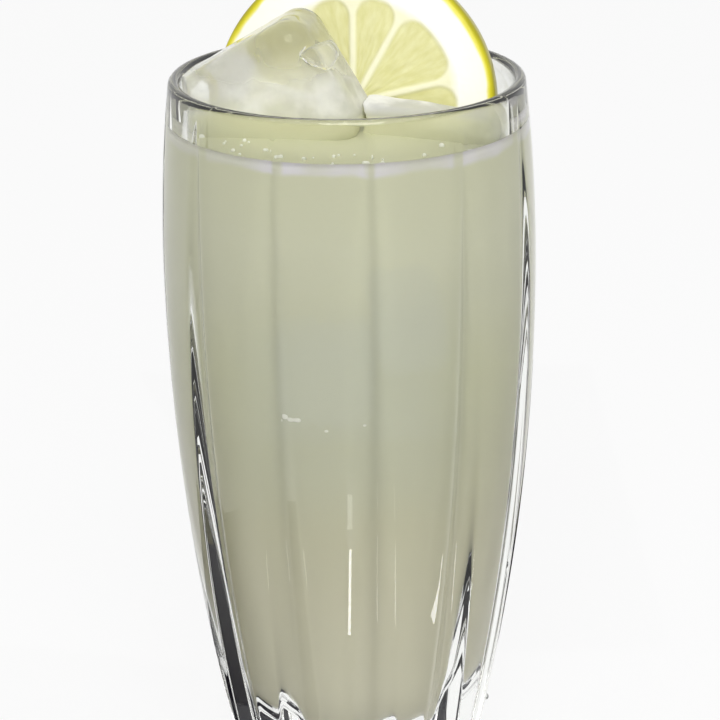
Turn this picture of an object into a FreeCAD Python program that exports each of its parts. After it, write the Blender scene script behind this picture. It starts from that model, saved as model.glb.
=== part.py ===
import FreeCAD, Part
import math
import os

# A tall barrel glass with twelve cut flutes, filled with a cloudy drink. A lemon wheel stands in the
# mouth behind a tilted ice cube. Millimetres, +Z up, the foot rests on Z = 0, the front looks along -Y.

# Glass: outside
HEIGHT = 160.0
RIM_RADIUS = 36.0
BELLY_BULGE = 2.45
BELLY_DROP = 43.0
FOOT_RADIUS = 24.4
FOOT_ROUND = 2.0
PUNT_RADIUS = 15.0
PUNT_RISE = 1.6

# Glass: inside
LIP_WALL = 2.5
BASE_THICKNESS = 17.0
CAVITY_NOSE_RADIUS = 21.0

# Glass: flutes, cut by a pointed wheel that plunges deeper towards the foot
FLUTE_COUNT = 12
FLUTE_AZIMUTH = 7.0
FLUTE_TOP_DROP = 3.0
FLUTE_MIDDLE_DEPTH = 1.6
FLUTE_FOOT_DEPTH = 2.4
FLUTE_WALL_TILT = 23.0
FLUTE_NOSE_RADIUS = 2.0
FLUTE_TOOL_RISE = 8.0

# Glass: a nub left by the mould on the two lands where it opens
NUB_RADIUS = 0.8
NUB_HEIGHT = 20.0
NUB_SINK = 0.2

# Drink
DRINK_DROP = 10.0

# Lemon wheel
LEMON_SIDE_ROOM = 4.5
LEMON_THICKNESS = 5.5
LEMON_PEEL = 7.4
LEMON_RIM_ROUND = 1.4
LEMON_X = 1.7
LEMON_Y = 4.0
LEMON_RISE = 3.0
LEMON_YAW = 12.0
LEMON_LEAN = 12.0
MEMBRANE_ANGLES = (15.0, 62.0, 92.0, 121.0, 165.0, 205.0, 246.0, 290.0, 335.0)
MEMBRANE_HALF = 0.45
SEGMENT_HUB_RADIUS = 2.6
SEGMENT_RELIEF = 0.3
SEGMENT_CORNER = 0.9

# Ice
ICE_WALL_GAP = 0.3
CUBE_LENGTH = 33.0
CUBE_DEPTH = 20.0
CUBE_HEIGHT = 29.0
CUBE_ROUND = 5.0
CUBE_TILT = 31.0
CUBE_X = -14.9
CUBE_RISE = 5.0
BLOCK_LENGTH = 30.0
BLOCK_DEPTH = 13.0
BLOCK_HEIGHT = 22.0
BLOCK_ROUND = 4.0
BLOCK_TILT = 5.0
BLOCK_YAW = -16.0
BLOCK_X = 14.5
BLOCK_RISE = -5.0
CHIP_OUTLINE = ((-4.2, -0.3), (-2.4, 1.3), (1.9, 3.0), (3.5, 1.5), (3.7, -0.5), (1.8, -3.0), (-1.8, -2.1))
CHIP_THICKNESS = 3.0
CHIP_ROUND = 0.4
CHIP_ACROSS = 16.8
CHIP_UP = 4.9
CHIP_PROUD = 0.2
ICE_LEMON_GAP = 0.2

# Worked out from the sizes above
LIP_ROUND = LIP_WALL / 2.0
LIP_LEVEL = HEIGHT - LIP_ROUND
MOUTH_RADIUS = RIM_RADIUS - LIP_WALL
BELLY_RADIUS = RIM_RADIUS + BELLY_BULGE
BELLY_LEVEL = HEIGHT - BELLY_DROP
DRINK_LEVEL = HEIGHT - DRINK_DROP
LEMON_RADIUS = MOUTH_RADIUS - LEMON_SIDE_ROOM
LEMON_FLESH_RADIUS = LEMON_RADIUS - LEMON_PEEL
LEMON_LEVEL = DRINK_LEVEL + LEMON_RISE
X_AXIS = FreeCAD.Vector(1, 0, 0)
Y_AXIS = FreeCAD.Vector(0, 1, 0)
Z_AXIS = FreeCAD.Vector(0, 0, 1)
ORIGIN = FreeCAD.Vector(0, 0, 0)


def at(radius, level):
    """A point of the glass's half section."""
    return FreeCAD.Vector(radius, 0, level)


def arc(first, middle, last):
    return Part.Arc(first, middle, last).toShape()


def line(first, last):
    return Part.makeLine(first, last)


def revolved(edges):
    """The solid that a closed half section sweeps about the glass's axis."""
    return Part.Face(Part.Wire(edges)).revolve(ORIGIN, Z_AXIS, 360)


def bulge_radius(rise, run):
    """Radius of the arc that starts upright and has moved in by rise after run."""
    return (run**2 + rise**2) / (2.0 * rise)


def barrel_radius(level):
    """Outer radius of the lands: one arc from the belly to the lip, a longer one down to the foot."""
    if level > BELLY_LEVEL:
        arc_radius = bulge_radius(BELLY_RADIUS - RIM_RADIUS, LIP_LEVEL - BELLY_LEVEL)
    else:
        arc_radius = bulge_radius(BELLY_RADIUS - FOOT_RADIUS, BELLY_LEVEL)
    return BELLY_RADIUS - arc_radius + math.sqrt(arc_radius**2 - (level - BELLY_LEVEL) ** 2)


def on_barrel(level):
    return at(barrel_radius(level), level)


def cavity_side_radius():
    """Radius of the side arc, which is upright at the lip and tangent to the rounded bottom."""
    run = LIP_LEVEL - BASE_THICKNESS - CAVITY_NOSE_RADIUS
    square = MOUTH_RADIUS**2 + run**2 - CAVITY_NOSE_RADIUS**2
    return square / (2.0 * (MOUTH_RADIUS - CAVITY_NOSE_RADIUS))


def cavity_edges(top_level, inset=0.0):
    """The cavity's half section from its lowest point up to top_level, drawn in by inset."""
    nose = CAVITY_NOSE_RADIUS - inset
    nose_centre = at(0, BASE_THICKNESS + CAVITY_NOSE_RADIUS)
    side = cavity_side_radius()
    side_centre = at(MOUTH_RADIUS - side, LIP_LEVEL)
    outward = (nose_centre - side_centre).normalize()
    join = nose_centre + outward * nose
    bottom = nose_centre - Z_AXIS * nose
    between = nose_centre + (outward - Z_AXIS).normalize() * nose

    def on_side(level):
        reach = math.sqrt((side - inset) ** 2 - (level - LIP_LEVEL) ** 2)
        return at(side_centre.x + reach, level)

    levels = [join.z + (min(top_level, LIP_LEVEL) - join.z) * i / 4.0 for i in range(5)]
    lower, middle, upper, top = [on_side(level) for level in levels[1:]]
    return [arc(bottom, between, join), arc(join, lower, middle), arc(middle, upper, top)]


def glass_blank():
    """The glass before its flutes are cut: punt, foot, barrel, rounded lip and cavity in one turn."""
    corner = FOOT_ROUND * (1.0 - math.sqrt(0.5))
    punt_sphere = bulge_radius(PUNT_RISE, PUNT_RADIUS)
    foot_top = on_barrel(FOOT_ROUND)
    foot_inner = at(FOOT_RADIUS - FOOT_ROUND, 0)
    punt_top = at(0, PUNT_RISE)
    punt_half = PUNT_RADIUS / 2.0
    punt_middle = at(punt_half, PUNT_RISE - punt_sphere + math.sqrt(punt_sphere**2 - punt_half**2))
    punt_edge = at(PUNT_RADIUS, 0)
    belly = on_barrel(BELLY_LEVEL)
    lip_outer = on_barrel(LIP_LEVEL)
    lip_inner = at(MOUTH_RADIUS, LIP_LEVEL)
    return revolved([
        arc(punt_top, punt_middle, punt_edge),
        line(punt_edge, foot_inner),
        arc(foot_inner, at(foot_top.x - corner, corner), foot_top),
        arc(foot_top, on_barrel((FOOT_ROUND + BELLY_LEVEL) / 2.0), belly),
        arc(belly, on_barrel((BELLY_LEVEL + LIP_LEVEL) / 2.0), lip_outer),
        arc(lip_outer, at(MOUTH_RADIUS + LIP_ROUND, HEIGHT), lip_inner),
        *reversed(cavity_edges(LIP_LEVEL)),
        line(at(0, BASE_THICKNESS), punt_top),
    ])


def flute_arc():
    """Centre and radius of the arc that the wheel's nose follows: foot, middle and just under the lip."""
    middle = HEIGHT / 2.0
    foot_point = at(FOOT_RADIUS - FLUTE_FOOT_DEPTH, 0)
    middle_point = at(barrel_radius(middle) - FLUTE_MIDDLE_DEPTH, middle)
    top_point = on_barrel(HEIGHT - FLUTE_TOP_DROP)
    circle = arc(foot_point, middle_point, top_point).Curve
    return circle.Center, circle.Radius


def flute_section(nose):
    """The wheel's pointed section, its rounded nose at that point, opening outwards along X."""
    tilt = math.radians(FLUTE_WALL_TILT)
    nose_out = FLUTE_NOSE_RADIUS * (1.0 - math.cos(tilt))
    nose_half = FLUTE_NOSE_RADIUS * math.sin(tilt)
    far_half = nose_half + (FLUTE_TOOL_RISE - nose_out) / math.tan(tilt)
    near = [nose + FreeCAD.Vector(nose_out, side * nose_half, 0) for side in (-1, 1)]
    far = [nose + FreeCAD.Vector(FLUTE_TOOL_RISE, side * far_half, 0) for side in (-1, 1)]
    return Part.Face(Part.Wire([
        line(far[0], near[0]),
        arc(near[0], nose, near[1]),
        line(near[1], far[1]),
        line(far[1], far[0]),
    ]))


def flute_cutter():
    """The space that the wheel sweeps for the flute that lies along +X."""
    centre, radius = flute_arc()
    foot_turn = math.degrees(math.asin((centre.z + FLUTE_TOOL_RISE) / radius))
    lip_turn = math.degrees(math.asin((HEIGHT + FLUTE_TOOL_RISE - centre.z) / radius))
    section = flute_section(centre + X_AXIS * radius)
    section.rotate(centre, Y_AXIS, foot_turn)
    return section.revolve(centre, Y_AXIS * -1, foot_turn + lip_turn)


def azimuth_turn(azimuth):
    """The turn that takes what lies along +X to an azimuth, counted from the front towards +X."""
    return azimuth - 90.0


def mould_nub(azimuth):
    nub = Part.makeSphere(NUB_RADIUS)
    nub.translate(at(barrel_radius(NUB_HEIGHT) - NUB_SINK, NUB_HEIGHT))
    nub.rotate(ORIGIN, Z_AXIS, azimuth_turn(azimuth))
    return nub


def make_glass():
    cutter = flute_cutter()
    pitch = 360.0 / FLUTE_COUNT
    flutes = []
    for i in range(FLUTE_COUNT):
        flute = cutter.copy()
        flute.rotate(ORIGIN, Z_AXIS, azimuth_turn(FLUTE_AZIMUTH + pitch * i))
        flutes.append(flute)
    seam = FLUTE_AZIMUTH + pitch * (FLUTE_COUNT // 4 - 0.5)
    nubs = [mould_nub(seam), mould_nub(seam + 180.0)]
    return glass_blank().cut(flutes).fuse(nubs)


def cavity_space(top_level, inset=0.0):
    """What fits in the cavity up to top_level, which may be above the lip."""
    edges = cavity_edges(top_level, inset)
    bottom = edges[0].Vertexes[0].Point
    wall_top = edges[-1].Vertexes[-1].Point
    corner = at(wall_top.x, top_level)
    if top_level > wall_top.z:
        edges.append(line(wall_top, corner))
    centre = at(0, top_level)
    return revolved(edges + [line(corner, centre), line(centre, bottom)])


def polar(radius, angle):
    return FreeCAD.Vector(radius * math.cos(angle), radius * math.sin(angle), 0)


def segment_pocket(first_angle, last_angle):
    """The shallow hollow of one flesh segment, between two membranes, in the wheel's own plane."""
    first = math.radians(first_angle)
    last = math.radians(last_angle)
    middle = (first + last) / 2.0
    outer_margin = math.asin(MEMBRANE_HALF / LEMON_FLESH_RADIUS)
    inner_margin = math.asin(MEMBRANE_HALF / SEGMENT_HUB_RADIUS)
    outer_first = polar(LEMON_FLESH_RADIUS, first + outer_margin)
    outer_last = polar(LEMON_FLESH_RADIUS, last - outer_margin)
    inner_first = polar(SEGMENT_HUB_RADIUS, first + inner_margin)
    inner_last = polar(SEGMENT_HUB_RADIUS, last - inner_margin)
    outline = Part.Wire([
        line(inner_first, outer_first),
        arc(outer_first, polar(LEMON_FLESH_RADIUS, middle), outer_last),
        line(outer_last, inner_last),
        arc(inner_last, polar(SEGMENT_HUB_RADIUS, middle), inner_first),
    ])
    pocket = Part.Face(outline).extrude(Z_AXIS * SEGMENT_RELIEF * 2.0)
    corners = [e for e in pocket.Edges if e.BoundBox.ZLength > SEGMENT_RELIEF and
               math.hypot(e.Vertexes[0].X, e.Vertexes[0].Y) > LEMON_FLESH_RADIUS * 0.9]
    return pocket.makeFillet(SEGMENT_CORNER, corners)


def lemon_placement():
    """Stands the wheel up with its cut face to the front, turned to the left and leaning back."""
    face_front = FreeCAD.Rotation(X_AXIS, 90)
    lean = FreeCAD.Rotation(X_AXIS, -LEMON_LEAN)
    yaw = FreeCAD.Rotation(Z_AXIS, -LEMON_YAW)
    centre = FreeCAD.Vector(LEMON_X, LEMON_Y, LEMON_LEVEL)
    return FreeCAD.Placement(centre, yaw.multiply(lean).multiply(face_front))


def make_lemon():
    """A wheel cut across the fruit: rounded rind, white pith, flesh segments sunk a little on both faces."""
    half = LEMON_THICKNESS / 2.0
    wheel = Part.makeCylinder(LEMON_RADIUS, LEMON_THICKNESS, FreeCAD.Vector(0, 0, -half))
    rims = [e for e in wheel.Edges if e.BoundBox.ZLength < half and e.BoundBox.XLength > LEMON_RADIUS]
    wheel = wheel.makeFillet(LEMON_RIM_ROUND, rims)
    pockets = []
    count = len(MEMBRANE_ANGLES)
    for i in range(count):
        last = MEMBRANE_ANGLES[(i + 1) % count] + (360.0 if i == count - 1 else 0.0)
        pocket = segment_pocket(MEMBRANE_ANGLES[i], last)
        for level in (half - SEGMENT_RELIEF, -half - SEGMENT_RELIEF):
            copy = pocket.copy()
            copy.translate(Z_AXIS * level)
            pockets.append(copy)
    wheel = wheel.cut(pockets)
    wheel.Placement = lemon_placement()
    return wheel


def lemon_front_space(gap):
    """Everything in front of the wheel's cut face, kept gap away from it."""
    size = 4.0 * LEMON_RADIUS
    space = Part.makeBox(size, size, size, FreeCAD.Vector(-size / 2.0, -size / 2.0, 0))
    space.translate(Z_AXIS * (LEMON_THICKNESS / 2.0 + gap))
    space.Placement = lemon_placement().multiply(space.Placement)
    return space


def rounded_block(length, depth, height, corner):
    """A block about the origin with all its edges melted round."""
    block = Part.makeBox(length, depth, height, FreeCAD.Vector(-length, -depth, -height) / 2.0)
    return block.makeFillet(corner, block.Edges)


def lemon_face_y(x, level):
    """Where the wheel's front face lies at that width and level."""
    face = lemon_placement()
    normal = face.Rotation.multVec(Z_AXIS)
    point = face.Base + normal * (LEMON_THICKNESS / 2.0)
    return point.y - (normal.x * (x - point.x) + normal.z * (level - point.z)) / normal.y


def melted_to_fit(ice):
    """Ice keeps clear of the wall and of the lemon's cut face: it has melted where it met them."""
    ice = ice.common(cavity_space(2.0 * HEIGHT, ICE_WALL_GAP))
    return ice.common(lemon_front_space(ICE_LEMON_GAP))


def cube_placement():
    """Tilts the cube and backs it against the lemon's face, as the wheel is turned."""
    level = DRINK_LEVEL + CUBE_RISE
    centre = FreeCAD.Vector(CUBE_X, lemon_face_y(CUBE_X, level) - CUBE_DEPTH / 2.0, level)
    tilt = FreeCAD.Rotation(Y_AXIS, -CUBE_TILT)
    return FreeCAD.Placement(centre, FreeCAD.Rotation(Z_AXIS, -LEMON_YAW).multiply(tilt))


def make_ice_cube(chip):
    """The large clear cube that stands out of the drink at the left, one corner against the wall."""
    cube = rounded_block(CUBE_LENGTH, CUBE_DEPTH, CUBE_HEIGHT, CUBE_ROUND)
    cube.Placement = cube_placement()
    return melted_to_fit(cube).cut(chip)


def make_ice_block(cube):
    """The low block in front of the lemon at the right, beside the cube."""
    level = DRINK_LEVEL + BLOCK_RISE
    block = rounded_block(BLOCK_LENGTH, BLOCK_DEPTH, BLOCK_HEIGHT, BLOCK_ROUND)
    block.rotate(ORIGIN, Y_AXIS, BLOCK_TILT)
    block.rotate(ORIGIN, Z_AXIS, BLOCK_YAW)
    front = lemon_face_y(BLOCK_X, level)
    block.translate(FreeCAD.Vector(BLOCK_X, front - BLOCK_DEPTH / 2.0, level))
    return melted_to_fit(block).cut(cube)


def make_ice_chip():
    """A small clear splinter, frozen into the cube's front right edge and standing proud of it."""
    outline = Part.makePolygon([FreeCAD.Vector(x, 0, z) for x, z in CHIP_OUTLINE + CHIP_OUTLINE[:1]])
    chip = Part.Face(outline).extrude(Y_AXIS * CHIP_THICKNESS)
    chip = chip.makeFillet(CHIP_ROUND, chip.Edges)
    chip.rotate(ORIGIN, Y_AXIS, CUBE_TILT)
    chip.translate(FreeCAD.Vector(CHIP_ACROSS, -CUBE_DEPTH / 2.0 - CHIP_PROUD, CHIP_UP))
    chip.Placement = cube_placement().multiply(chip.Placement)
    return chip


def make_drink(sunk):
    """The cloudy drink fills the cavity to its level, round the garnish and the ice."""
    return cavity_space(DRINK_LEVEL).cut(sunk)


def main():
    os.makedirs("parts", exist_ok=True)
    lemon = make_lemon()
    chip = make_ice_chip()
    cube = make_ice_cube(chip)
    block = make_ice_block(cube)
    nodes = {
        "glass": make_glass(),
        "lemon_slice": lemon,
        "ice_cube": cube,
        "ice_block": block,
        "ice_chip": chip,
        "drink": make_drink([lemon, cube, block]),
    }
    for name, shape in nodes.items():
        print(name, shape.isValid(), len(shape.Solids), round(shape.Volume), shape.BoundBox)
        shape.exportStep("parts/" + name + ".step")


main()
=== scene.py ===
import bpy
import bmesh
import math
import random
from mathutils import Matrix, Vector, noise


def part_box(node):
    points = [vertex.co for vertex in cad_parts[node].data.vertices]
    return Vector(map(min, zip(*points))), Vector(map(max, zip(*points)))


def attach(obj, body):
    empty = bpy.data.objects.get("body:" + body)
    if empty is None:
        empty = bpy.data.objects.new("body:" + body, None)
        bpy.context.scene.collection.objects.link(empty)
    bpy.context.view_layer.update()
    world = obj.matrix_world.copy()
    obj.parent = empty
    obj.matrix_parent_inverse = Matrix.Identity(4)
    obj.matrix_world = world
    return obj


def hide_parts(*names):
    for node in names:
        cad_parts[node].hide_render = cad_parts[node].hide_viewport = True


# Looks of a fluted glass with a cloudy drink, a lemon wheel and clear ice. Metres, +Z up, front along -Y.

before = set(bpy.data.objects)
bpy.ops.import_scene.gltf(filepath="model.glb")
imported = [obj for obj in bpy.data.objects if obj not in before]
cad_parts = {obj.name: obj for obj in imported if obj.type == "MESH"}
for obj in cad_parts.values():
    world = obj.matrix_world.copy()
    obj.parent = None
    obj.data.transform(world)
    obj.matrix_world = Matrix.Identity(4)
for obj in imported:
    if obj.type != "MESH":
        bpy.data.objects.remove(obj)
bpy.context.scene.view_settings.view_transform = "Standard"
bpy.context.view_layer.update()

MM = 0.001
_, glass_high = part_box("glass")
drink_low, drink_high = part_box("drink")


def srgb(red, green, blue):
    """A colour written as 0 to 255 values, as the linear values that shaders take."""
    shares = [value / 255.0 for value in (red, green, blue)]
    linear = [share / 12.92 if share <= 0.04045 else ((share + 0.055) / 1.055) ** 2.4 for share in shares]
    return (*linear, 1.0)


# ---- sizes and places ----

# Glass: the frame gives its height, the rest are the sizes of its section
HEIGHT = round(glass_high.z, 4)
BELLY_RADIUS = 38.45 * MM
RIM_RADIUS = 36.0 * MM
BELLY_DROP = 43.0 * MM
FOOT_RADIUS = 24.4 * MM
FOOT_ROUND = 2.0 * MM
PUNT_RADIUS = 15.0 * MM
PUNT_RISE = 1.6 * MM
LIP_WALL = 2.5 * MM
CAVITY_NOSE_RADIUS = 21.0 * MM
FLUTE_COUNT = 12
FLUTE_AZIMUTH = math.radians(7.0)
FLUTE_TOP_DROP = 3.0 * MM
FLUTE_MIDDLE_DEPTH = 1.6 * MM
FLUTE_FOOT_DEPTH = 2.4 * MM
FLUTE_WALL_TILT = math.radians(23.0)
FLUTE_NOSE_RADIUS = 2.0 * MM
FLUTE_EDGE_BLEND = 0.35 * MM
EDGE_BLEND_SHARE = 0.8
LEAST_EDGE_BLEND = 0.02 * MM
LEAST_FLUTE_HALF = 0.2 * MM
NUB_RADIUS = 0.8 * MM
NUB_HEIGHT = 20.0 * MM
NUB_SINK = 0.2 * MM
NUB_AZIMUTHS = (math.radians(82.0), math.radians(262.0))

# Worked out from these and from the frame
LIP_ROUND = LIP_WALL / 2
LIP_LEVEL = HEIGHT - LIP_ROUND
MOUTH_RADIUS = RIM_RADIUS - LIP_WALL
BELLY_LEVEL = HEIGHT - BELLY_DROP
CAVITY_FLOOR = drink_low.z
DRINK_LEVEL = round(drink_high.z, 4)
HALF_PITCH = math.pi / FLUTE_COUNT

# How finely the glass is meshed: columns as shares of half a flute and of half a land, rings from the punt up
FLUTE_STEPS = (0.0, 0.15, 0.3, 0.45, 0.6, 0.75, 0.86, 0.94, 1.0)
LAND_STEPS = (0.03, 0.08, 0.16, 0.35, 0.65)
PUNT_RING_RADII = (2.0 * MM, 5.0 * MM, 8.0 * MM, 11.0 * MM, 13.5 * MM, PUNT_RADIUS)
FOOT_RING_RADII = (16.2 * MM, 17.6 * MM, 19.0 * MM)
FOOT_ROUND_STEPS = (0.0, 0.06, 0.175, 0.35, 0.55, 0.75, 1.0)
TOP_ZONE = 12.0 * MM
SIDE_RINGS = 110
TOP_RINGS = 26
LIP_RINGS = 13
CAVITY_RINGS = 60
CAVITY_NOSE_RINGS = 16

# Drink
WALL_BITE = 0.1 * MM
MENISCUS_RISE = 1.1 * MM
MENISCUS_REACH = 1.0 * MM

# How finely the drink is meshed: its top's rings as first share, last share and number, then closer ones
DRINK_COLUMNS = 180
DRINK_INNER_RINGS = (0.04, 0.90, 22)
DRINK_OUTER_RINGS = [0.925, 0.945, 0.96, 0.972, 0.98, 0.987, 0.993]
DRINK_SIDE_RINGS = 70
DRINK_NOSE_RINGS = 18

# Bubbles on the drink, and flecks of air on its sunk ice: azimuth in degrees, level and radius in mm
BUBBLE_COUNT = 60
BUBBLE_RADII = (0.2 * MM, 0.6 * MM)
BUBBLE_RING = (24.0 * MM, 32.3 * MM)
BUBBLE_FLOAT = 0.3
TRAPPED_AIR = (
    (-21.5, 98.6, 0.9),
    (-19.0, 98.2, 0.7),
    (-23.6, 97.6, 0.4),
    (-9.0, 96.2, 0.4),
    (2.0, 97.4, 0.4),
)
AIR_PROUD = 0.05 * MM
AIR_SQUASH = (1.0, 0.12, 0.7)

# Sunk ice: azimuth, half width as an angle, level, half height, skew
SUNK_LUMPS = (
    (math.radians(-9.0), math.radians(20.0), 108.5 * MM, 13.5 * MM, 0.12),
    (math.radians(19.0), math.radians(15.0), 119.0 * MM, 13.0 * MM, -0.3),
)
SUNK_PROUD = 0.06 * MM
SUNK_EDGE_DROP = 0.2 * SUNK_PROUD
SUNK_DEPTH = 7.0 * MM
SUNK_COLUMNS = 64
SUNK_RINGS = 16
SUNK_MIDDLE_SHARE = 0.05

# Lemon wheel, with its membranes' angles in degrees
LEMON_RADIUS = 29.0 * MM
LEMON_THICKNESS = 5.5 * MM
LEMON_FLESH_RADIUS = 21.6 * MM
LEMON_RIM_ROUND = 1.4 * MM
LEMON_CENTRE = Vector((1.7 * MM, 4.0 * MM, DRINK_LEVEL + 3.0 * MM))
LEMON_YAW = math.radians(12.0)
LEMON_LEAN = math.radians(12.0)
MEMBRANE_ANGLES = (15.0, 62.0, 92.0, 121.0, 165.0, 205.0, 246.0, 290.0, 335.0)
MEMBRANE_HALF = 0.225 * MM
HUB_RADIUS = 2.08 * MM
HUB_BLEND_RADIUS = 3.64 * MM
SEGMENT_RELIEF = 0.3 * MM
SEGMENT_CORNER = 4.5 * MM
SEGMENT_SLOPE = 0.8 * MM
SAC_TURNS = 9.0
SAC_LENGTH = 2.2 * MM
SAC_RELIEF = 0.12 * MM
FACE_SHIFT = 7.0
PITH_GRAIN = 900.0
PITH_RELIEF = 0.05 * MM
LEMON_COLUMNS = 540
LEMON_FACE_RINGS = 64
LEMON_RIM_RINGS = 12
LEMON_FIRST_RING = 0.6 * MM

# Ice above the drink: piece, CAD node, how far it melts, seed, milkiness
ICE_LUMPS = (
    ("ice_lump", "ice_cube", 0.5 * MM, 1.0, 1.0),
    ("ice_front", "ice_block", 0.5 * MM, 5.0, 1.3),
    ("ice_splinter", "ice_chip", 0.05 * MM, 9.0, 0.1),
)
ICE_VOXEL = 0.45 * MM
ICE_SMOOTHINGS = 6
DENT_SIZE = 9.0 * MM
DENT_DETAIL = 2.3

# Camera, set from the middle of the rim
CAMERA_DISTANCE = 13.0 * RIM_RADIUS
CAMERA_ELEVATION = math.radians(13.96)
CAMERA_AIM = Vector((0.051 * RIM_RADIUS, 0.0, HEIGHT - 1.710 * RIM_RADIUS))
CAMERA_ROLL = math.radians(-0.83)
CAMERA_LENS = 115.7
CAMERA_SENSOR = 36.0
CAMERA_CLIP = 0.01

# Light
WORLD_STRENGTH = 0.67
KEY_PLACE = Vector((0.05, -0.75, 0.75))
KEY_AIM = Vector((0.0, 0.0, 0.09))
KEY_SIZE = 0.6
KEY_POWER = 5.8
FLOOR_HALF = 2.0
FLOOR_GLOW = 0.85

# Colours: ramps are (share of the way, colour)
WHITE = (1.0, 1.0, 1.0, 1.0)
FLOOR_GREY = (0.85, 0.85, 0.85, 1.0)
CLEAR_TINT = (0.97, 0.98, 0.96, 1.0)
LIP_TINT = (0.97, 0.97, 0.92, 1.0)
ICE_TINT = (1.0, 1.0, 0.99, 1.0)
ICE_VEIL = srgb(255, 255, 250)
BUBBLE_SKIN = srgb(250, 250, 236)
DRINK_TOP = srgb(208, 208, 168)
FROTH = srgb(226, 226, 200)
# Painted highlight of the meniscus, the pale line where the drink meets the glass
MENISCUS = srgb(247, 243, 248)
SUNK_HAZE = srgb(212, 214, 194)
PRESSED_ICE = srgb(217, 219, 200)
# Painted shade: black and olive for cards that only the glass shows
PAINTED_SHADE_BLACK = srgb(14, 12, 22)
PAINTED_SHADE_OLIVE = srgb(66, 64, 46)
DRINK_UPWARD = (
    (0.10, srgb(224, 220, 194)),
    (0.285, srgb(217, 213, 185)),
    (0.41, srgb(212, 209, 179)),
    (0.54, srgb(209, 208, 176)),
    (0.665, srgb(215, 215, 181)),
    (0.79, srgb(222, 222, 194)),
    (0.885, srgb(229, 229, 201)),
    (0.96, srgb(230, 230, 199)),
)
LEMON_OUTWARD = (
    (0.0, srgb(252, 251, 240)),
    (0.12, srgb(246, 244, 214)),
    (0.70, srgb(244, 242, 208)),
    (0.76, srgb(254, 253, 248)),
    (0.938, srgb(254, 252, 240)),
    (0.954, srgb(236, 228, 104)),
    (0.968, srgb(214, 204, 38)),
    (0.993, srgb(166, 158, 24)),
)
LEMON_SACS = (
    (0.28, srgb(216, 213, 149)),
    (0.50, srgb(222, 219, 160)),
    (0.75, srgb(229, 227, 176)),
)

# Indices of refraction; the last is the drink's over the glass's, for the step between them
GLASS_IOR = 1.5
WATER_IOR = 1.33
ICE_IOR = 1.31
LEMON_IOR = 1.36
DRINK_TO_GLASS = 1.34 / 1.52

# Bumps: noise scale, depth, detail, strength
GLASS_BUMP = (60.0, 0.02 * MM, 1.0, 0.3)
DRINK_BUMP = (120.0, 0.2 * MM, 2.0, 0.5)
BUBBLE_BUMP = (900.0, 0.02 * MM, 1.0, 0.3)
LEMON_BUMP = (900.0, 0.05 * MM, 2.0, 0.5)
ICE_BUMP = (160.0, 0.15 * MM, 2.0, 0.5)

# Where a look begins and where it is full
LIP_TINTED = (HEIGHT - 4.0 * MM, HEIGHT - 2.0 * MM)
# Levels, patches, left side and flute breaks of the painted meniscus highlight
LINE_LEVELS = (DRINK_LEVEL - 0.3 * MM, DRINK_LEVEL + 1.0 * MM)
LINE_PATCHES = (0.35, 0.6)
LINE_LEFT = (-21.0 * MM, -13.0 * MM)
LINE_FROM_FLUTE = (0.01, 0.05)
ICE_MILKY = (DRINK_LEVEL + 21.0 * MM, DRINK_LEVEL + 4.0 * MM)
ICE_WET = (DRINK_LEVEL + 6.5 * MM, DRINK_LEVEL + 3.5 * MM)
ICE_STREAKS = (0.42, 0.72)

# The grey haze of the sunk ice, in pairs of the same kind
HAZE_SLOPE = -0.25
HAZE_TOP = (127.0 * MM, 112.0 * MM)
HAZE_BOTTOM = (70.0 * MM, 90.0 * MM)
HAZE_SHELF = (90.5 * MM, 94.5 * MM)
HAZE_UNDER_SHELF = 0.65
HAZE_RIGHT = (26.0 * MM, 10.0 * MM)
HAZE_LEFT = (-26.0 * MM, -12.0 * MM)
HAZE_FRONT = (0.0, -10.0 * MM)
HAZE_STRENGTH = 0.6

# Unevenness: noise scales, and how far the noise shifts a look
CLOUD_SCALE = 26.0
CLOUD_DRIFT = 16.0 * MM
FROTH_SCALE = 300.0
FROTH_STRENGTH = 0.25
RIPPLE_SCALE = 95.0
RIPPLE_HEIGHT = 3.2 * MM
PATCH_SCALE = 60.0
PITH_SCALE = 90.0
PITH_WOBBLE = 2.0 * MM
SAC_SCALE = 1.6
SACS_PER_METRE = 160.0
STREAK_SCALE = 110.0

# Strengths of the drink's painted highlight line at the meniscus, of the pressed-through ice and of the milky
# veil in the ice
LINE_PLAIN = 0.4
LINE_PATCHED = 0.55
LINE_LEAST_LEFT = 0.35
LINE_LEAST_FLUTE = 0.25
PRESSED_SHARE = 0.45
VEIL_CLEAR = 0.02
VEIL_MILKY = 0.4
VEIL_STREAKED = 0.3
VEIL_WET = 0.92

# Cards on the floor, by their corners, seen only in the glass: black ones are painted shade, with a painted
# contact shadow by the foot, and draw the glass's dark lines; white ones glow though they are no lamps and
# are painted highlights for its streaks
CARD_LEVEL = 1.0 * MM
DARK_SHADE_CARD = ((-0.012, 0.055), (0.078, 0.055), (0.078, 0.185), (-0.050, 0.185))
FAR_SHADE_CARD = ((-0.050, 0.185), (0.078, 0.185), (0.078, 0.25), (-0.070, 0.25))
# Painted contact shadow under and just behind the foot
FOOT_SHADOW_CARD = ((-0.020, 0.002), (0.014, 0.002), (0.014, 0.021), (-0.020, 0.021))
LEFT_SHADE_CARD = ((-0.15, -0.060), (-0.038, -0.060), (-0.038, 0.05), (-0.15, 0.08))
LEFT_FADE = (-0.055, 0.0)
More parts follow.
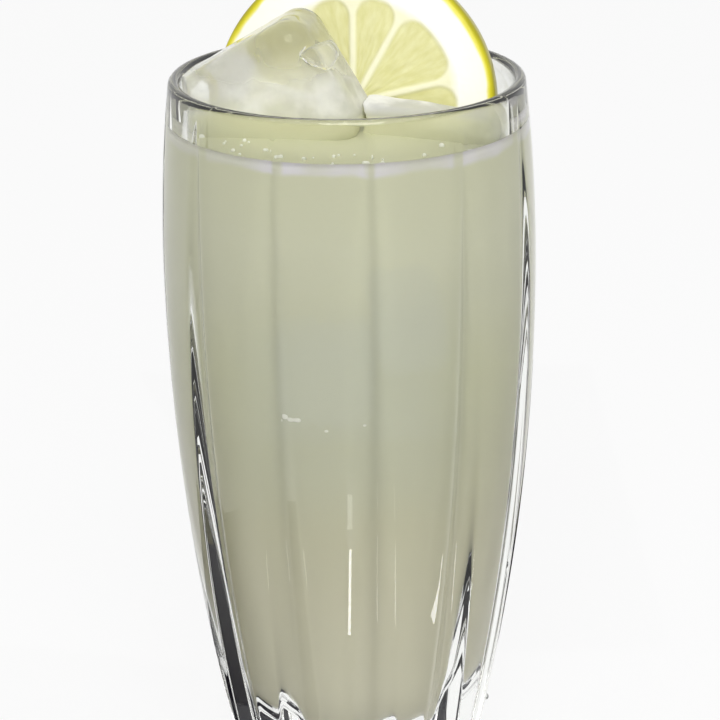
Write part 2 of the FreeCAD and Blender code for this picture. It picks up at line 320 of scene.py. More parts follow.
# Glowing cards that are no lamps: painted highlights for the glass's bright streaks
STREAK_CARD = ((-0.0075, -0.133), (-0.0035, -0.133), (-0.0035, -0.088), (-0.0075, -0.088))
PALE_CARD = ((-0.011, -0.171), (-0.002, -0.171), (-0.002, -0.146), (-0.011, -0.146))
LEFT_STREAK_CARD = ((-0.0673, -0.0844), (-0.0701, -0.0816), (-0.0859, -0.0971), (-0.0831, -0.0999))
SIDE_CARD = ((0.07, -0.063), (0.11, -0.063), (0.11, -0.055), (0.07, -0.055))


# ---- meshes ----

def spread(first, last, count):
    """Evenly spaced values from first to last."""
    return [first + (last - first) * i / (count - 1) for i in range(count)]


def full_turn(count):
    """Evenly spaced angles once round."""
    return spread(0.0, 2.0 * math.pi, count + 1)[:-1]


def smoothstep(value, low, high):
    share = min(max((value - low) / (high - low), 0.0), 1.0)
    return share * share * (3.0 - 2.0 * share)


def soft_min(a, b, blend):
    """The smaller of two values, with the corner between them rounded over blend."""
    near = max(blend - abs(a - b), 0.0) / blend
    return min(a, b) - near * near * blend / 4.0


def around(radius, angle, level):
    """A point at an angle about the Z axis, counted from +X."""
    return Vector((radius * math.cos(angle), radius * math.sin(angle), level))


def at_azimuth(radius, azimuth, level):
    """A point at an azimuth, counted from the front."""
    return around(radius, azimuth - math.pi / 2, level)


def new_object(name, mesh):
    piece = bpy.data.objects.new(name, mesh)
    bpy.context.collection.objects.link(piece)
    return piece


def ring_mesh(name, rings, material_of_ring=None):
    """A closed mesh from rings of equally many points; the first and last rings close at their middle."""
    count = len(rings[0])
    mesh = bpy.data.meshes.new(name)
    points = [p for ring in rings for p in ring]
    faces = []
    for r in range(len(rings) - 1):
        for c in range(count):
            d = (c + 1) % count
            faces.append((r * count + c, r * count + d, (r + 1) * count + d, (r + 1) * count + c))
    first_pole = len(points)
    points.append(sum(rings[0], Vector()) / count)
    points.append(sum(rings[-1], Vector()) / count)
    last = (len(rings) - 1) * count
    for c in range(count):
        d = (c + 1) % count
        faces.append((d, c, first_pole))
        faces.append((last + c, last + d, first_pole + 1))
    mesh.from_pydata(points, [], faces)
    if material_of_ring:
        quads = (len(rings) - 1) * count
        for i, polygon in enumerate(mesh.polygons):
            ring = i // count if i < quads else (0 if (i - quads) % 2 == 0 else len(rings) - 2)
            polygon.material_index = material_of_ring(ring)
    work = bmesh.new()
    work.from_mesh(mesh)
    bmesh.ops.recalc_face_normals(work, faces=work.faces)
    work.to_mesh(mesh)
    work.free()
    mesh.shade_smooth()
    return mesh


def ball_mesh(name, places, subdivisions):
    """One mesh of balls; each place is the matrix that moves and sizes a ball of radius 1."""
    mesh = bpy.data.meshes.new(name)
    work = bmesh.new()
    for place in places:
        bmesh.ops.create_icosphere(work, subdivisions=subdivisions, radius=1.0, matrix=place)
    work.to_mesh(mesh)
    work.free()
    mesh.shade_smooth()
    return mesh


def ball(place, radius):
    """The matrix of a ball."""
    return Matrix.Translation(place) @ Matrix.Diagonal((radius, radius, radius, 1.0))


def add_measure(mesh, name, values):
    """Give each point of a mesh a number that its material can read."""
    layer = mesh.attributes.new(name, "FLOAT", "POINT")
    for item, value in zip(layer.data, values):
        item.value = value


def circle_through(a, b, c):
    """Centre and radius of the circle through three (radius, level) points."""
    (ax, ay), (bx, by), (cx, cy) = a, b, c
    d = 2.0 * (ax * (by - cy) + bx * (cy - ay) + cx * (ay - by))
    a2 = ax * ax + ay * ay
    b2 = bx * bx + by * by
    c2 = cx * cx + cy * cy
    x = (a2 * (by - cy) + b2 * (cy - ay) + c2 * (ay - by)) / d
    y = (a2 * (cx - bx) + b2 * (ax - cx) + c2 * (bx - ax)) / d
    return x, y, math.hypot(ax - x, ay - y)


# ---- glass ----

def barrel_radius(level):
    """Radius of the uncut glass: one arc from foot to belly, another from belly to rim."""
    rise = BELLY_RADIUS - FOOT_RADIUS
    run = BELLY_LEVEL
    if level > BELLY_LEVEL:
        rise = BELLY_RADIUS - RIM_RADIUS
        run = LIP_LEVEL - BELLY_LEVEL
    arc_radius = (run**2 + rise**2) / (2.0 * rise)
    return BELLY_RADIUS - arc_radius + math.sqrt(arc_radius**2 - (level - BELLY_LEVEL) ** 2)


def flute_circle():
    """The circle that a flute's deepest line follows."""
    middle = HEIGHT / 2
    top = HEIGHT - FLUTE_TOP_DROP
    return circle_through(
        (FOOT_RADIUS - FLUTE_FOOT_DEPTH, 0.0),
        (barrel_radius(middle) - FLUTE_MIDDLE_DEPTH, middle),
        (barrel_radius(top), top),
    )


FLUTE_X, FLUTE_Z, FLUTE_ARC = flute_circle()
NOSE_TRIM = FLUTE_NOSE_RADIUS * (1.0 / math.cos(FLUTE_WALL_TILT) - 1.0)
NOSE_HALF = FLUTE_NOSE_RADIUS * math.sin(FLUTE_WALL_TILT)


def flute_nose(level):
    """Radius of the flute's deepest line."""
    return FLUTE_X + math.sqrt(FLUTE_ARC**2 - (level - FLUTE_Z) ** 2)


def flute_radius(nose, turn):
    """Radius of the flute's wall at a turn from its deepest line."""
    centre = nose + FLUTE_NOSE_RADIUS
    inside = FLUTE_NOSE_RADIUS**2 - (centre * math.sin(turn)) ** 2
    if nose * math.sin(turn) < NOSE_HALF and inside > 0.0:
        return centre * math.cos(turn) - math.sqrt(inside)
    return (nose - NOSE_TRIM) / (math.cos(turn) - math.sin(turn) * math.tan(FLUTE_WALL_TILT))


def flute_edge_turn(nose, radius):
    """The turn at which the flute's wall comes out through the land."""
    least = LEAST_FLUTE_HALF / radius
    if nose >= radius:
        return least
    centre = nose + FLUTE_NOSE_RADIUS
    turn = math.acos(min((radius**2 + centre**2 - FLUTE_NOSE_RADIUS**2) / (2 * radius * centre), 1.0))
    if radius * math.sin(turn) < NOSE_HALF:
        return max(turn, least)
    return math.acos((nose - NOSE_TRIM) * math.cos(FLUTE_WALL_TILT) / radius) - FLUTE_WALL_TILT


def outer_turns(level):
    """Turns of the mesh's columns over one flute and half a land each side, closer where it bends."""
    edge = flute_edge_turn(flute_nose(level), barrel_radius(level))
    half = [edge * step for step in FLUTE_STEPS]
    half += [edge + (HALF_PITCH - edge) * step for step in LAND_STEPS]
    return [-turn for turn in reversed(half[1:])] + half + [HALF_PITCH]


def outer_ring(level, blank_radius):
    """The fluted outside at a level, cut into a blank of the given radius."""
    nose = flute_nose(level)
    depth = max(barrel_radius(level) - nose, 0.0)
    blend = min(FLUTE_EDGE_BLEND, depth * EDGE_BLEND_SHARE + LEAST_EDGE_BLEND)
    turns = outer_turns(level)
    ring = []
    for flute in range(FLUTE_COUNT):
        middle = FLUTE_AZIMUTH + 2.0 * HALF_PITCH * flute
        for turn in turns:
            radius = soft_min(blank_radius, flute_radius(nose, abs(turn)), blend)
            ring.append(at_azimuth(radius, middle + turn, level))
    return ring


def round_ring(like, radius, level):
    """A circle whose points stand at the same angles as the ring like."""
    return [Vector((p.x, p.y, 0.0)).normalized() * radius + Vector((0, 0, level)) for p in like]


def cavity_side():
    """Radius of the arc down the cavity's side, tangent to its round bottom."""
    run = LIP_LEVEL - CAVITY_FLOOR - CAVITY_NOSE_RADIUS
    square = MOUTH_RADIUS**2 + run**2 - CAVITY_NOSE_RADIUS**2
    return square / (2.0 * (MOUTH_RADIUS - CAVITY_NOSE_RADIUS))


CAVITY_SIDE = cavity_side()
CAVITY_SIDE_X = MOUTH_RADIUS - CAVITY_SIDE
NOSE_CENTRE_Z = CAVITY_FLOOR + CAVITY_NOSE_RADIUS
JOIN_TURN = math.atan2(LIP_LEVEL - NOSE_CENTRE_Z, -CAVITY_SIDE_X)
JOIN_LEVEL = NOSE_CENTRE_Z - CAVITY_NOSE_RADIUS * math.sin(JOIN_TURN)


def cavity_radius(level):
    """Radius of the cavity above its round bottom."""
    return CAVITY_SIDE_X + math.sqrt(CAVITY_SIDE**2 - (level - LIP_LEVEL) ** 2)


def cavity_section(top_level, side_count, nose_count, grow=0.0):
    """(radius, level) points down the cavity's wall and round its bottom, without the pole."""
    section = []
    for level in spread(top_level, JOIN_LEVEL, side_count):
        section.append((cavity_radius(level) + grow, level))
    nose = CAVITY_NOSE_RADIUS + grow
    for turn in spread(JOIN_TURN, math.pi / 2, nose_count + 1)[1:-1]:
        section.append((nose * math.cos(turn), NOSE_CENTRE_Z - nose * math.sin(turn)))
    return section


def glass_rings():
    """Rings from the middle of the punt, up the outside, over the lip and down the cavity."""
    rings = []
    foot_blank = barrel_radius(FOOT_ROUND)
    lowest = outer_ring(0.0, foot_blank - FOOT_ROUND)
    for radius in PUNT_RING_RADII:
        rings.append(round_ring(lowest, radius, PUNT_RISE * (1.0 - (radius / PUNT_RADIUS) ** 2)))
    for radius in FOOT_RING_RADII:
        rings.append(round_ring(lowest, radius, 0.0))
    for step in FOOT_ROUND_STEPS:
        inward = FOOT_ROUND * (1.0 - math.sqrt(1.0 - (1.0 - step) ** 2))
        rings.append(outer_ring(step * FOOT_ROUND, foot_blank - inward))
    levels = spread(FOOT_ROUND, HEIGHT - TOP_ZONE, SIDE_RINGS)[1:]
    levels += spread(HEIGHT - TOP_ZONE, LIP_LEVEL, TOP_RINGS)[1:]
    for level in levels:
        rings.append(outer_ring(level, barrel_radius(level)))
    top = rings[-1]
    for turn in spread(0.0, math.pi, LIP_RINGS)[1:-1]:
        radius = RIM_RADIUS - LIP_ROUND + LIP_ROUND * math.cos(turn)
        rings.append(round_ring(top, radius, LIP_LEVEL + LIP_ROUND * math.sin(turn)))
    for radius, level in cavity_section(LIP_LEVEL, CAVITY_RINGS, CAVITY_NOSE_RINGS):
        rings.append(round_ring(top, radius, level))
    return rings


def make_glass():
    mesh = ring_mesh("glass_body", glass_rings())
    mesh.materials.append(glass_material())
    piece = new_object("glass_body", mesh)
    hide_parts("glass")
    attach(piece, "root")


def make_nubs():
    """The mould's two nubs, low on opposite lands, each sunk a little into the wall."""
    reach = barrel_radius(NUB_HEIGHT) - NUB_SINK
    places = [ball(at_azimuth(reach, azimuth, NUB_HEIGHT), NUB_RADIUS) for azimuth in NUB_AZIMUTHS]
    mesh = ball_mesh("glass_nubs", places, 3)
    mesh.materials.append(glass_material())
    piece = new_object("glass_nubs", mesh)
    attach(piece, "root")


# ---- drink ----

def drink_ring(radius, level):
    return [around(radius, angle, level) for angle in full_turn(DRINK_COLUMNS)]


def make_drink():
    """The drink from the middle of its surface, up the meniscus and down the wall that it reaches into."""
    wall = cavity_section(DRINK_LEVEL + MENISCUS_RISE, DRINK_SIDE_RINGS, DRINK_NOSE_RINGS, WALL_BITE)
    edge = wall[0][0]
    rings = []
    for share in spread(*DRINK_INNER_RINGS) + DRINK_OUTER_RINGS:
        radius = edge * share
        rise = MENISCUS_RISE * math.exp((radius - edge) / MENISCUS_REACH)
        rings.append(drink_ring(radius, DRINK_LEVEL + rise))
    top_rings = len(rings)
    for radius, level in wall:
        rings.append(drink_ring(radius, level))
    mesh = ring_mesh("drink_body", rings, lambda ring: 0 if ring < top_rings else 1)
    mesh.materials.append(drink_top_material())
    mesh.materials.append(drink_side_material("drink_side"))
    piece = new_object("drink_body", mesh)
    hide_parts("drink")
    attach(piece, "root")


def wall_point(azimuth, level, out):
    """A point outside the drink's skin by out, or inside it where out is below 0."""
    return at_azimuth(cavity_radius(level) + WALL_BITE + out, azimuth, level)


def root_of(value):
    """The square root, with the sign kept."""
    return math.copysign(math.sqrt(abs(value)), value)


def make_sunk_ice(name, azimuth, half_width, level, half_height, skew):
    """A lump of ice under the surface whose face just presses through the drink's skin, softly outlined."""
    corners = [(root_of(math.cos(angle)), root_of(math.sin(angle))) for angle in full_turn(SUNK_COLUMNS)]
    reaches = spread(SUNK_MIDDLE_SHARE, 1.0, SUNK_RINGS)
    front = [(reach, True) for reach in reaches]
    back = [(reach, False) for reach in reversed(reaches[:-1])]
    rings = []
    press = []
    for reach, in_front in front + back:
        inside = 1.0 - reach**4
        shown = smoothstep(inside, 0.0, 1.0) if in_front else 0.0
        out = SUNK_PROUD * shown if in_front else -SUNK_DEPTH * inside
        ring = []
        for u, v in corners:
            turn = half_width * reach * (u + skew * v)
            rise = half_height * reach * v
            ring.append(wall_point(azimuth + turn, level + rise, out - SUNK_EDGE_DROP))
        rings.append(ring)
        press += [shown] * SUNK_COLUMNS
    mesh = ring_mesh(name, rings)
    add_measure(mesh, "press", press + [1.0, 0.0])
    mesh.materials.append(drink_side_material(name, sunk=True))
    piece = new_object(name, mesh)
    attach(piece, "root")


def make_bubbles():
    """Small bubbles that float near the wall, and flecks of air caught on the sunk ice."""
    chance = random.Random(7)
    places = []
    for _ in range(BUBBLE_COUNT):
        size = chance.uniform(*BUBBLE_RADII)
        azimuth = chance.uniform(-math.pi, math.pi)
        reach = chance.triangular(BUBBLE_RING[0], BUBBLE_RING[1], BUBBLE_RING[1])
        places.append(ball(at_azimuth(reach, azimuth, DRINK_LEVEL + size * BUBBLE_FLOAT), size))
    for degrees, level, radius in TRAPPED_AIR:
        azimuth = math.radians(degrees)
        turn = Matrix.Rotation(azimuth, 4, "Z") @ Matrix.Diagonal((*AIR_SQUASH, 1.0))
        places.append(ball(wall_point(azimuth, level * MM, AIR_PROUD), radius * MM) @ turn)
    mesh = ball_mesh("bubbles", places, 2)
    mesh.materials.append(bubble_material())
    piece = new_object("bubbles", mesh)
    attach(piece, "root")


# ---- lemon ----

def lemon_matrix():
    turn = Matrix.Rotation(-LEMON_YAW, 4, "Z") @ Matrix.Rotation(math.pi / 2 - LEMON_LEAN, 4, "X")
    return Matrix.Translation(LEMON_CENTRE) @ turn


def seam_distance(radius, angle):
    """Distance to the middle of the nearest membrane between two segments."""
    best = LEMON_RADIUS
    for membrane in MEMBRANE_ANGLES:
        off = abs((angle - math.radians(membrane) + math.pi) % (2 * math.pi) - math.pi)
        if off < math.pi / 2:
            best = min(best, radius * math.sin(off))
    return best


def flesh_share(radius, angle):
    """1 inside a flesh segment, 0 on membranes, hub and pith."""
    to_seam = seam_distance(radius, angle) - MEMBRANE_HALF
    to_skin = LEMON_FLESH_RADIUS - radius
    corner = math.hypot(max(SEGMENT_CORNER - to_seam, 0.0), max(SEGMENT_CORNER - to_skin, 0.0))
    segment = smoothstep(SEGMENT_CORNER - corner, 0.0, SEGMENT_SLOPE)
    return segment * smoothstep(radius, HUB_RADIUS, HUB_BLEND_RADIUS)


def lemon_relief(radius, angle, side):
    """How far a cut face stands out: flesh sinks between the membranes, with uneven sacs and rough pith."""
    share = flesh_share(radius, angle)
    sac = noise.noise(around(SAC_TURNS, angle, radius / SAC_LENGTH + side * FACE_SHIFT)) * SAC_RELIEF
    pith = noise.noise(around(radius, angle, side) * PITH_GRAIN) * PITH_RELIEF
    return (1.0 - share) * pith - share * (SEGMENT_RELIEF - sac)


def lemon_rings():
    """Rings over the front face, round the rind's edge and back over the other face."""
    angles = full_turn(LEMON_COLUMNS)
    half = LEMON_THICKNESS / 2
    flat = LEMON_RADIUS - LEMON_RIM_ROUND
    faces = []
    for side in (1, -1):
        face = []
        for radius in spread(LEMON_FIRST_RING, flat, LEMON_FACE_RINGS):
            levels = [side * (half + lemon_relief(radius, angle, side)) for angle in angles]
            face.append([around(radius, angle, level) for angle, level in zip(angles, levels)])
        faces.append(face)
    rim = []
    for turn in spread(math.pi / 2, -math.pi / 2, LEMON_RIM_RINGS)[1:-1]:
        radius = flat + LEMON_RIM_ROUND * math.cos(turn)
        level = math.copysign(half - LEMON_RIM_ROUND, turn) + LEMON_RIM_ROUND * math.sin(turn)
        rim.append([around(radius, angle, level) for angle in angles])
    return faces[0] + rim + faces[1][::-1]


def make_lemon():
    mesh = ring_mesh("lemon_wheel", lemon_rings())
    places = [vertex.co for vertex in mesh.vertices]
    add_measure(mesh, "flesh", [flesh_share(math.hypot(p.x, p.y), math.atan2(p.y, p.x)) for p in places])
    mesh.materials.append(lemon_material())
    piece = new_object("lemon_wheel", mesh)
    piece.matrix_world = lemon_matrix()
    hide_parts("lemon_slice")
    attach(piece, "root")


# ---- ice ----

def make_ice(name, node, melt, seed, milk):
    """The CAD lump, remeshed finely and melted a little uneven, never outside its own solid."""
    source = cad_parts[node]
    mesh = source.data.copy()
    mesh.name = name
    mesh.materials.clear()
    piece = new_object(name, mesh)
    piece.matrix_world = source.matrix_world.copy()
    remesh = piece.modifiers.new("remesh", "REMESH")
    remesh.mode = "VOXEL"
    remesh.voxel_size = ICE_VOXEL
    smooth = piece.modifiers.new("smooth", "SMOOTH")
    smooth.factor = 0.5
    smooth.iterations = ICE_SMOOTHINGS
    graph = bpy.context.evaluated_depsgraph_get()
    fine = bpy.data.meshes.new_from_object(piece.evaluated_get(graph))
    piece.modifiers.clear()
    normals = [vertex.normal.copy() for vertex in fine.vertices]
    for vertex, normal in zip(fine.vertices, normals):
        place = vertex.co / DENT_SIZE + Vector((seed, 0, 0))
        dent = (noise.noise(place) + 0.5 * noise.noise(place * DENT_DETAIL)) * 0.5 + 0.5
        vertex.co -= normal * melt * max(dent, 0.0)
    piece.data = fine
    fine.shade_smooth()
    fine.materials.append(ice_material(name, milk))
    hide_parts(node)
    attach(piece, "root")


# ---- shader parts ----

def start_material(name):
    material = bpy.data.materials.new(name)
    material.use_nodes = True
    return material, material.node_tree, material.node_tree.nodes["Principled BSDF"]


def object_place(tree):
    """The place on a piece, in its own metres."""
    return tree.nodes.new("ShaderNodeTexCoord").outputs["Object"]


def axes(tree, place):
    """X, Y and Z of a place."""
    split = tree.nodes.new("ShaderNodeSeparateXYZ")
    tree.links.new(place, split.inputs["Vector"])
    return split.outputs["X"], split.outputs["Y"], split.outputs["Z"]


def noise_value(tree, place, scale, detail=2.0):
    node = tree.nodes.new("ShaderNodeTexNoise")
    node.inputs["Scale"].default_value = scale
    node.inputs["Detail"].default_value = detail
    tree.links.new(place, node.inputs["Vector"])
    return node.outputs["Fac"]


def noise_bump(tree, shader, place, scale, distance, detail, strength):
    bump = tree.nodes.new("ShaderNodeBump")
    bump.inputs["Strength"].default_value = strength
    bump.inputs["Distance"].default_value = distance
    tree.links.new(noise_value(tree, place, scale, detail), bump.inputs["Height"])
    tree.links.new(bump.outputs["Normal"], shader.inputs["Normal"])


def measure(tree, name):
    """The number that add_measure gave the points of a mesh."""
    node = tree.nodes.new("ShaderNodeAttribute")
    node.attribute_name = name
    return node.outputs["Fac"]


def mapped(tree, value, low, high, smooth=True):
    """value spread from 0 at low to 1 at high."""
    node = tree.nodes.new("ShaderNodeMapRange")
    node.interpolation_type = "SMOOTHSTEP" if smooth else "LINEAR"
    node.inputs["From Min"].default_value = low
    node.inputs["From Max"].default_value = high
    tree.links.new(value, node.inputs["Value"])
    return node.outputs["Result"]


def maths(tree, operation, *values):
    """One sum; each value is a number or a socket."""
    node = tree.nodes.new("ShaderNodeMath")
    node.operation = operation
    for socket, value in zip(node.inputs, values):
        if isinstance(value, float):
            socket.default_value = value
        else:
            tree.links.new(value, socket)
    return node.outputs["Value"]


def at_least(tree, share, least):
    """least where share is 0, and 1 where it is 1."""
    return maths(tree, "MULTIPLY_ADD", share, 1.0 - least, least)


def product(tree, result, *others):
    for other in others:
        result = maths(tree, "MULTIPLY", result, other)
    return result


def blended(tree, factor, first, second):
    """first where factor is 0, second where it is 1; each is a colour or a socket."""
    node = tree.nodes.new("ShaderNodeMix")
    node.data_type = "RGBA"
    tree.links.new(factor, node.inputs["Factor"])
    for name, colour in (("A", first), ("B", second)):
        if isinstance(colour, tuple):
            node.inputs[name].default_value = colour
        else:
            tree.links.new(colour, node.inputs[name])
    return node.outputs["Result"]


def ramp(tree, factor, stops):
    """A colour ramp over factor; stops are (place, colour)."""
    node = tree.nodes.new("ShaderNodeValToRGB")
    elements = node.color_ramp.elements
    while len(elements) < len(stops):
        elements.new(0.5)
    for element, (place, colour) in zip(elements, stops):
        element.position = place
        element.color = colour
    tree.links.new(factor, node.inputs["Fac"])
    return node.outputs["Color"]


def show_mixed(tree, factor, first, second):
    """Send out first where factor is 0 and second where it is 1; each is a shader's socket."""
    mix = tree.nodes.new("ShaderNodeMixShader")
    for socket, source in zip(mix.inputs, (factor, first, second)):
        tree.links.new(source, socket)
    output = tree.nodes.get("Material Output") or tree.nodes.get("World Output")
    tree.links.new(mix.outputs["Shader"], output.inputs["Surface"])


# ---- materials ----

def glass_material():
    """Clear glass, slightly uneven, with a faint tint that is warmer at the lip."""
    material, tree, shader = start_material("clear_glass")
    shader.inputs["Roughness"].default_value = 0.0
    shader.inputs["IOR"].default_value = GLASS_IOR
    shader.inputs["Transmission Weight"].default_value = 1.0
    place = object_place(tree)
    noise_bump(tree, shader, place, *GLASS_BUMP)
    lip = mapped(tree, axes(tree, place)[2], *LIP_TINTED)
    tree.links.new(blended(tree, lip, CLEAR_TINT, LIP_TINT), shader.inputs["Base Color"])
    return material


def drink_colour(tree, place):
    """Cloudy lemon: paler at the top and at the bottom, greener between, with the greyer haze of sunk ice."""
    x, y, z = axes(tree, place)
    cloud = noise_value(tree, place, CLOUD_SCALE)
    drift = maths(tree, "MULTIPLY_ADD", cloud, CLOUD_DRIFT, -CLOUD_DRIFT / 2)
    level = maths(tree, "ADD", z, drift)
    height = mapped(tree, level, CAVITY_FLOOR, DRINK_LEVEL, smooth=False)
    body = ramp(tree, height, DRINK_UPWARD)
    sloped_level = maths(tree, "MULTIPLY_ADD", x, HAZE_SLOPE, level)
    shelf = at_least(tree, mapped(tree, level, *HAZE_SHELF), HAZE_UNDER_SHELF)
    haze = product(
        tree,
        mapped(tree, sloped_level, *HAZE_TOP),
        product(tree, mapped(tree, level, *HAZE_BOTTOM), shelf),
        mapped(tree, x, *HAZE_RIGHT),
        mapped(tree, x, *HAZE_LEFT),
        mapped(tree, y, *HAZE_FRONT),
        HAZE_STRENGTH,
    )
    return blended(tree, haze, body, SUNK_HAZE)


def meniscus_highlight(tree, place):
    """A painted highlight: the pale line where the drink climbs the glass, uneven, faint on the left, broken
    behind each flute.
    """
    x, y, z = axes(tree, place)
    ripple = noise_value(tree, place, RIPPLE_SCALE, 3.0)
    line = mapped(tree, maths(tree, "MULTIPLY_ADD", ripple, RIPPLE_HEIGHT, z), *LINE_LEVELS)
    patches = mapped(tree, noise_value(tree, place, PATCH_SCALE), *LINE_PATCHES)
    strength = maths(tree, "MULTIPLY_ADD", patches, LINE_PATCHED, LINE_PLAIN)
    left = at_least(tree, mapped(tree, x, *LINE_LEFT), LINE_LEAST_LEFT)
    turn = maths(tree, "SUBTRACT", maths(tree, "ARCTAN2", y, x), FLUTE_AZIMUTH - math.pi / 2)
    from_flute = maths(tree, "PINGPONG", turn, HALF_PITCH)
    unbroken = at_least(tree, mapped(tree, from_flute, *LINE_FROM_FLUTE), LINE_LEAST_FLUTE)
    return product(tree, line, strength, left, unbroken)


def drink_top_material():
    """The drink's open surface, with a little froth."""
    material, tree, shader = start_material("drink_top")
    shader.inputs["Roughness"].default_value = 0.12
    shader.inputs["IOR"].default_value = WATER_IOR
    place = object_place(tree)
    froth = maths(tree, "MULTIPLY", noise_value(tree, place, FROTH_SCALE), FROTH_STRENGTH)
    tree.links.new(blended(tree, froth, DRINK_TOP, FROTH), shader.inputs["Base Color"])
    noise_bump(tree, shader, place, *DRINK_BUMP)
    return material


def drink_side_material(name, sunk=False):
    """The drink against the glass, which mirrors only as much as the step between the two does."""
    material, tree, shader = start_material(name)
    shader.inputs["Roughness"].default_value = 0.6
    shader.inputs["IOR"].default_value = WATER_IOR
    shader.inputs["Specular IOR Level"].default_value = 0.0
    place = object_place(tree)
    colour = drink_colour(tree, place)
    if sunk:
        share = maths(tree, "MULTIPLY", measure(tree, "press"), PRESSED_SHARE)
        colour = blended(tree, share, colour, PRESSED_ICE)
    # Painted highlight: the pale meniscus line laid over the drink's colour
    line = meniscus_highlight(tree, place)
    tree.links.new(blended(tree, line, colour, MENISCUS), shader.inputs["Base Color"])
    mirror = tree.nodes.new("ShaderNodeBsdfGlossy")
    mirror.inputs["Roughness"].default_value = 0.0
    mirror.inputs["Color"].default_value = WHITE
    edge = tree.nodes.new("ShaderNodeFresnel")
    edge.inputs["IOR"].default_value = DRINK_TO_GLASS
    show_mixed(tree, edge.outputs["Fac"], shader.outputs["BSDF"], mirror.outputs["BSDF"])
    return material


def bubble_material():
    """The bright skin of a bubble."""
    material, tree, shader = start_material("bubbles")
    shader.inputs["Base Color"].default_value = BUBBLE_SKIN
    shader.inputs["Roughness"].default_value = 0.08
    shader.inputs["IOR"].default_value = WATER_IOR
    noise_bump(tree, shader, object_place(tree), *BUBBLE_BUMP)
    return material


def lemon_material():
    """Flesh with juice sacs that run out from the hub, pale membranes, white pith, yellow rind."""
    material, tree, shader = start_material("lemon")
    shader.inputs["Roughness"].default_value = 0.3
    shader.inputs["IOR"].default_value = LEMON_IOR
    place = object_place(tree)
    x, y, _ = axes(tree, place)
    square = maths(tree, "ADD", maths(tree, "MULTIPLY", x, x), maths(tree, "MULTIPLY", y, y))
    reach = maths(tree, "SQRT", square)
    wobble = maths(tree, "MULTIPLY_ADD", noise_value(tree, place, PITH_SCALE), PITH_WOBBLE, -PITH_WOBBLE / 2)
    outward = mapped(tree, maths(tree, "ADD", reach, wobble), 0.0, LEMON_RADIUS, smooth=False)
    skin = ramp(tree, outward, LEMON_OUTWARD)
    ray = tree.nodes.new("ShaderNodeCombineXYZ")
    tree.links.new(maths(tree, "MULTIPLY", maths(tree, "ARCTAN2", y, x), SAC_TURNS), ray.inputs["X"])
    tree.links.new(maths(tree, "MULTIPLY", reach, SACS_PER_METRE), ray.inputs["Y"])
    flesh = ramp(tree, noise_value(tree, ray.outputs["Vector"], SAC_SCALE, 3.0), LEMON_SACS)
    tree.links.new(blended(tree, measure(tree, "flesh"), skin, flesh), shader.inputs["Base Color"])
    noise_bump(tree, shader, place, *LEMON_BUMP)
    return material


def ice_material(name, milk):
    """Clear wet ice with a milky veil, as strong as milk says, that thickens towards the drink."""
    material, tree, shader = start_material(name)
    shader.inputs["Base Color"].default_value = ICE_TINT
    shader.inputs["Roughness"].default_value = 0.02
    shader.inputs["IOR"].default_value = ICE_IOR
    shader.inputs["Transmission Weight"].default_value = 1.0
    place = object_place(tree)
    noise_bump(tree, shader, place, *ICE_BUMP)
    z = axes(tree, place)[2]
    milky = mapped(tree, z, *ICE_MILKY)
    streaks = mapped(tree, noise_value(tree, place, STREAK_SCALE, 4.0), *ICE_STREAKS)
    wet = mapped(tree, z, *ICE_WET)
    veil = maths(tree, "MULTIPLY_ADD", streaks, VEIL_STREAKED * milk, VEIL_MILKY * milk)
    veil = maths(tree, "MULTIPLY_ADD", milky, veil, VEIL_CLEAR)
    veil = maths(tree, "MAXIMUM", veil, maths(tree, "MULTIPLY", wet, VEIL_WET))
    white = tree.nodes.new("ShaderNodeBsdfDiffuse")
    tree.links.new(blended(tree, wet, ICE_VEIL, DRINK_TOP), white.inputs["Color"])
    show_mixed(tree, veil, shader.outputs["BSDF"], white.outputs["BSDF"])
    return material


# ---- stage ----

def make_camera():
    camera = bpy.data.objects.new("camera", bpy.data.cameras.new("camera"))
    bpy.context.collection.objects.link(camera)
    rim = Vector((0, 0, HEIGHT))
    back = Vector((0, -math.cos(CAMERA_ELEVATION), math.sin(CAMERA_ELEVATION)))
    place = rim + back * CAMERA_DISTANCE
    look = (CAMERA_AIM - place).normalized()
    level_right = look.cross(Vector((0, 0, 1))).normalized()
    level_up = level_right.cross(look)
    right = level_right * math.cos(CAMERA_ROLL) + level_up * math.sin(CAMERA_ROLL)
    up = right.cross(look)
    turn = Matrix((right, up, -look)).transposed()
    camera.matrix_world = Matrix.Translation(place) @ turn.to_4x4()
    camera.data.lens = CAMERA_LENS
    camera.data.sensor_width = CAMERA_SENSOR
    camera.data.clip_start = CAMERA_CLIP
    bpy.context.scene.camera = camera


def seen_directly(tree):
    """1 for rays that carry the background to the eye, straight, mirrored or through glass; else 0."""
    path = tree.nodes.new("ShaderNodeLightPath").outputs
    seen = maths(tree, "MAXIMUM", path["Is Camera Ray"], path["Is Glossy Ray"])
    seen = maths(tree, "MAXIMUM", seen, path["Is Transmission Ray"])
    unscattered = maths(tree, "LESS_THAN", path["Diffuse Depth"], 0.5)
    return maths(tree, "MULTIPLY", seen, unscattered)


def make_world():
    """A plain light world that looks white wherever it is seen."""
    world = bpy.data.worlds.new("studio")
    bpy.context.scene.world = world
    world.use_nodes = True
    tree = world.node_tree
    plain = tree.nodes["Background"]
    plain.inputs["Color"].default_value = WHITE
    plain.inputs["Strength"].default_value = WORLD_STRENGTH
    white = tree.nodes.new("ShaderNodeBackground")
    white.inputs["Color"].default_value = WHITE
    white.inputs["Strength"].default_value = 1.0
    show_mixed(tree, seen_directly(tree), plain.outputs["Background"], white.outputs["Background"])


def flat_object(name, corners, level):
    """An object with one flat face."""
    mesh = bpy.data.meshes.new(name)
    mesh.from_pydata([(x, y, level) for x, y in corners], [], [(0, 1, 2, 3)])
    return new_object(name, mesh)


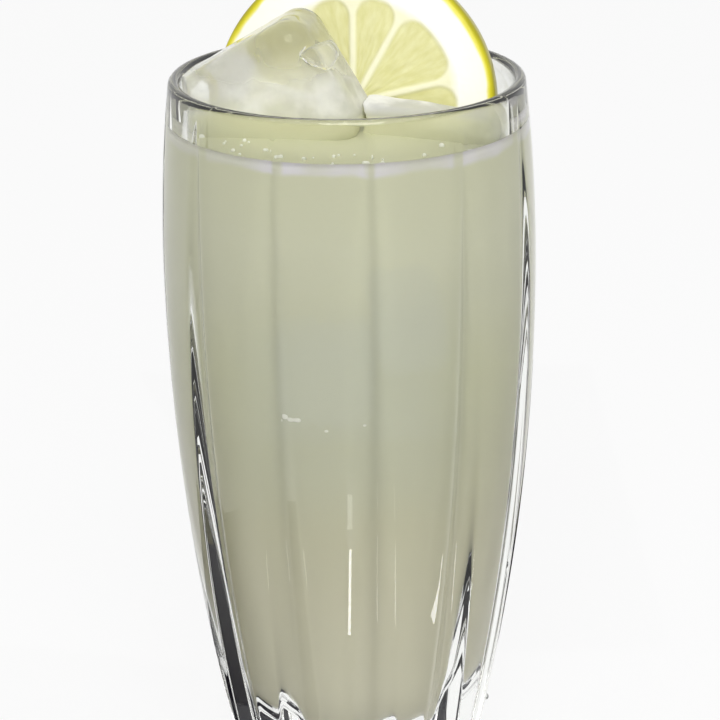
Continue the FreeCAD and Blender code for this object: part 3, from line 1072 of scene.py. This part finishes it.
def make_floor():
    """A white floor that still takes the glass's shadow."""
    corners = [(x * FLOOR_HALF, y * FLOOR_HALF) for x, y in ((-1, -1), (1, -1), (1, 1), (-1, 1))]
    floor = flat_object("floor", corners, 0.0)
    material, tree, shader = start_material("floor")
    shader.inputs["Base Color"].default_value = FLOOR_GREY
    shader.inputs["Roughness"].default_value = 0.6
    glow = tree.nodes.new("ShaderNodeEmission")
    glow.inputs["Strength"].default_value = 1.0
    share = maths(tree, "MULTIPLY", seen_directly(tree), FLOOR_GLOW)
    show_mixed(tree, share, shader.outputs["BSDF"], glow.outputs["Emission"])
    floor.data.materials.append(material)


def make_card(name, corners, colour, strength, fade=None):
    """A card flat on the floor that only the glass sees: black for painted shade in its dark lines, glowing
    white for painted highlights in its streaks.

    With fade it goes from clear to full between two places along Y.
    """
    card = flat_object(name, corners, CARD_LEVEL)
    material, tree, _ = start_material(name)
    glow = tree.nodes.new("ShaderNodeEmission")
    glow.inputs["Color"].default_value = colour
    glow.inputs["Strength"].default_value = strength
    if fade:
        share = mapped(tree, axes(tree, object_place(tree))[1], *fade)
        clear = tree.nodes.new("ShaderNodeBsdfTransparent")
        show_mixed(tree, share, clear.outputs["BSDF"], glow.outputs["Emission"])
    else:
        tree.links.new(glow.outputs["Emission"], tree.nodes["Material Output"].inputs["Surface"])
    card.data.materials.append(material)
    card.visible_camera = False
    card.visible_diffuse = False
    card.visible_shadow = False


def make_key_lamp():
    data = bpy.data.lights.new("key", "AREA")
    data.shape = "SQUARE"
    data.size = KEY_SIZE
    data.energy = KEY_POWER
    lamp = bpy.data.objects.new("key", data)
    bpy.context.collection.objects.link(lamp)
    turn = (KEY_AIM - KEY_PLACE).to_track_quat("-Z", "Y").to_matrix().to_4x4()
    lamp.matrix_world = Matrix.Translation(KEY_PLACE) @ turn


make_camera()
make_world()
make_floor()
# Black and olive cards: painted shade that the glass shows as dark lines
make_card("dark_shade_card", DARK_SHADE_CARD, PAINTED_SHADE_BLACK, 1.0)
make_card("far_shade_card", FAR_SHADE_CARD, PAINTED_SHADE_OLIVE, 1.0)
make_card("foot_shadow_card", FOOT_SHADOW_CARD, PAINTED_SHADE_BLACK, 1.0)
make_card("left_shade_card", LEFT_SHADE_CARD, PAINTED_SHADE_BLACK, 1.0, LEFT_FADE)
# Painted highlights: white cards that glow, seen only in the glass
make_card("streak_card", STREAK_CARD, WHITE, 13.0)
make_card("pale_card", PALE_CARD, WHITE, 3.5)
make_card("left_streak_card", LEFT_STREAK_CARD, WHITE, 12.0)
make_card("side_card", SIDE_CARD, WHITE, 10.0)
make_key_lamp()
make_glass()
make_nubs()
make_drink()
make_bubbles()
for number, lump in enumerate(SUNK_LUMPS, 1):
    make_sunk_ice("sunk_ice_%d" % number, *lump)
make_lemon()
for lump in ICE_LUMPS:
    make_ice(*lump)
